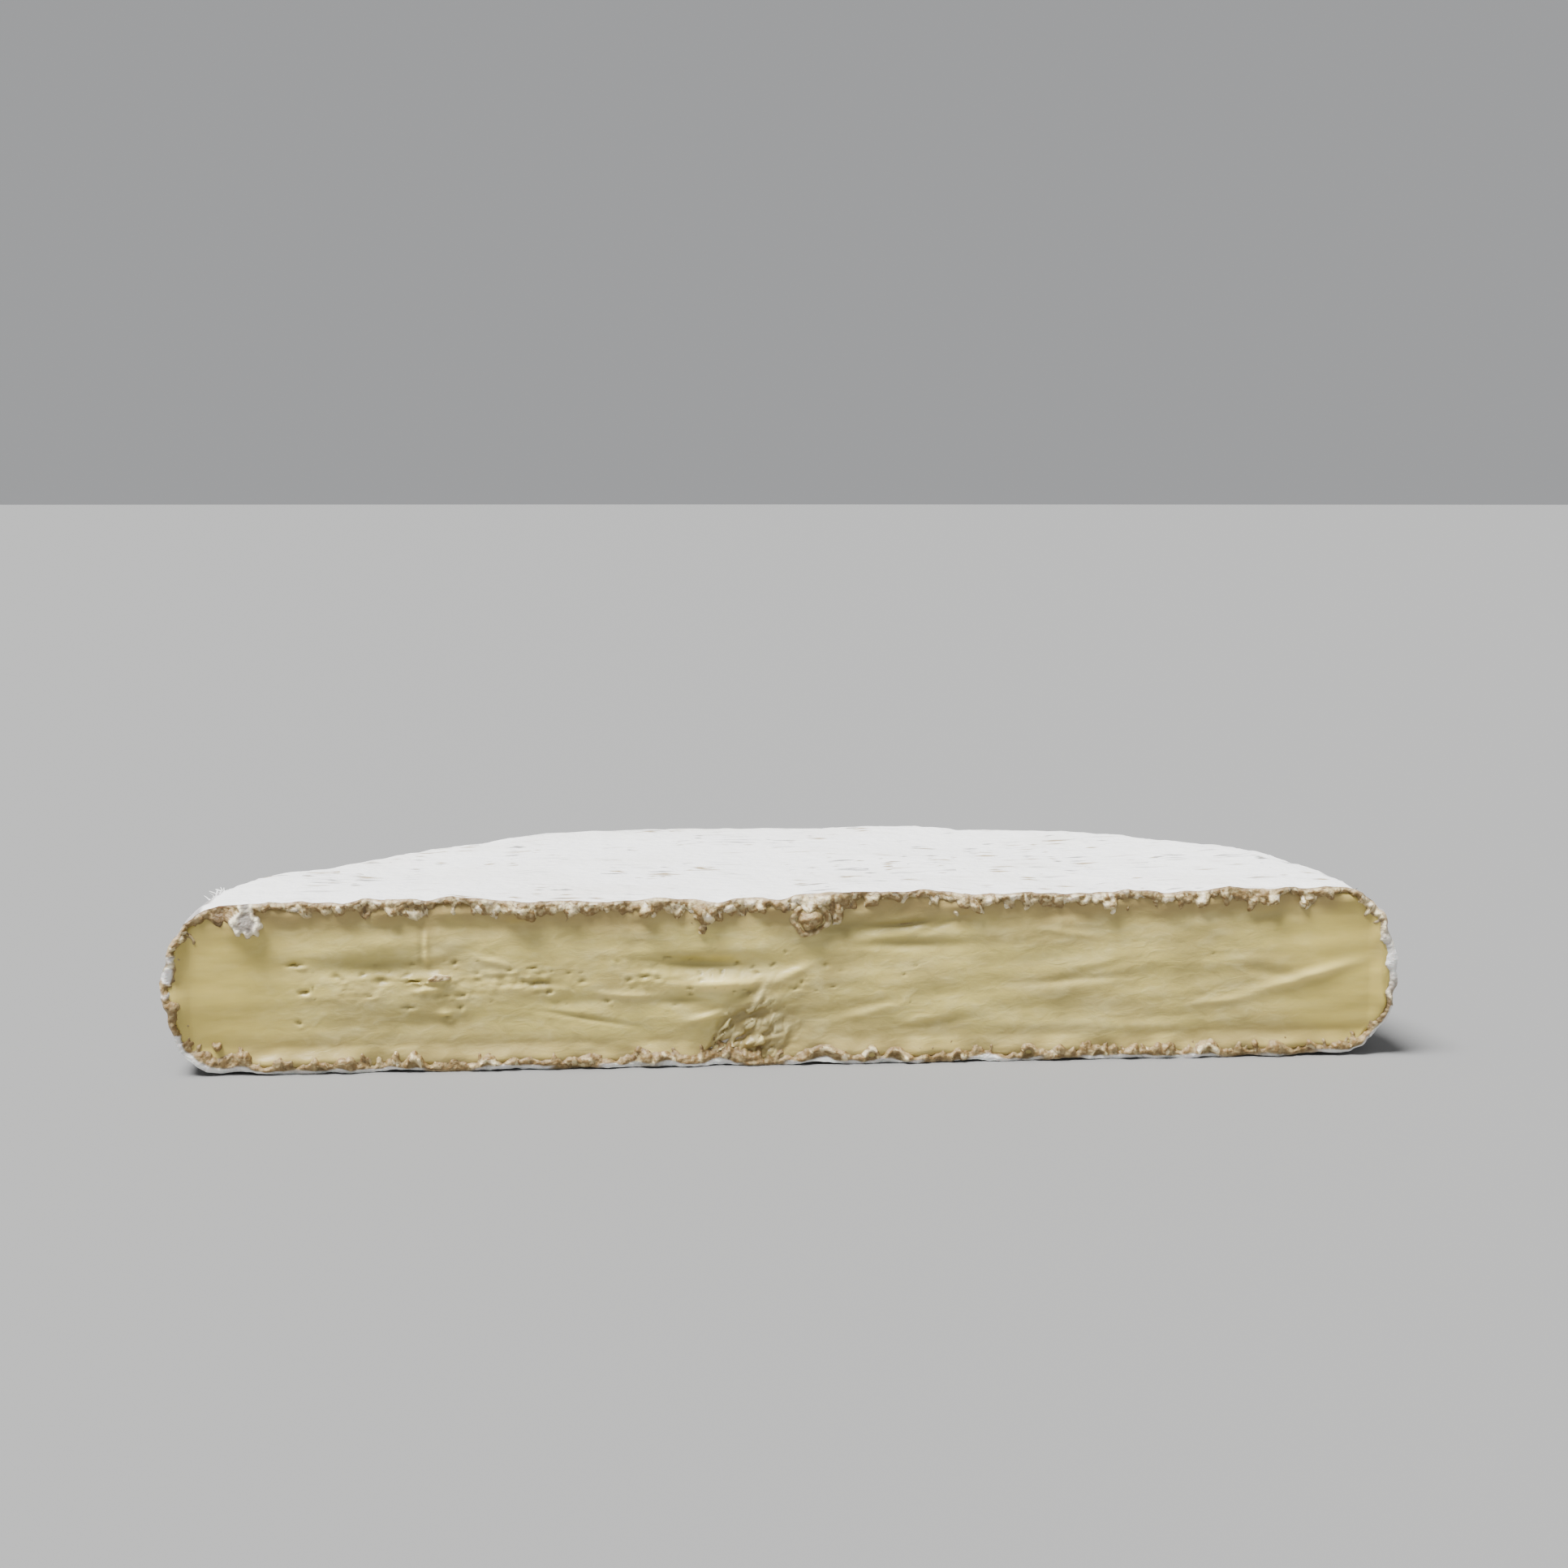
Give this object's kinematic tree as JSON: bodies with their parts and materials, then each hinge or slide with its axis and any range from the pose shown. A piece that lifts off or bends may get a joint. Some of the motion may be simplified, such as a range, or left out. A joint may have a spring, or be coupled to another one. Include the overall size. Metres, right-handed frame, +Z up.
{
  "type": "half brie wheel",
  "caption": "Half of a soft white-rind cheese wheel, cut straight across to show its pale yellow paste, lying flat on its base.",
  "frame": {"origin": "middle of the flat base of the half wheel's box, on the surface that it lies on", "axes": "+X runs along the straight cut, to the right as seen from in front of it; +Y points away from the cut face, towards the round rim; +Z is up"},
  "size_m": [0.242, 0.1258, 0.0353],
  "materials": {
    "cheese": "matte, velvety white mould rind outside, satin pale yellow paste on the cut face"
  },
  "bodies": {
    "root": {"half_wheel": "cheese"}
  },
  "joints": []
}
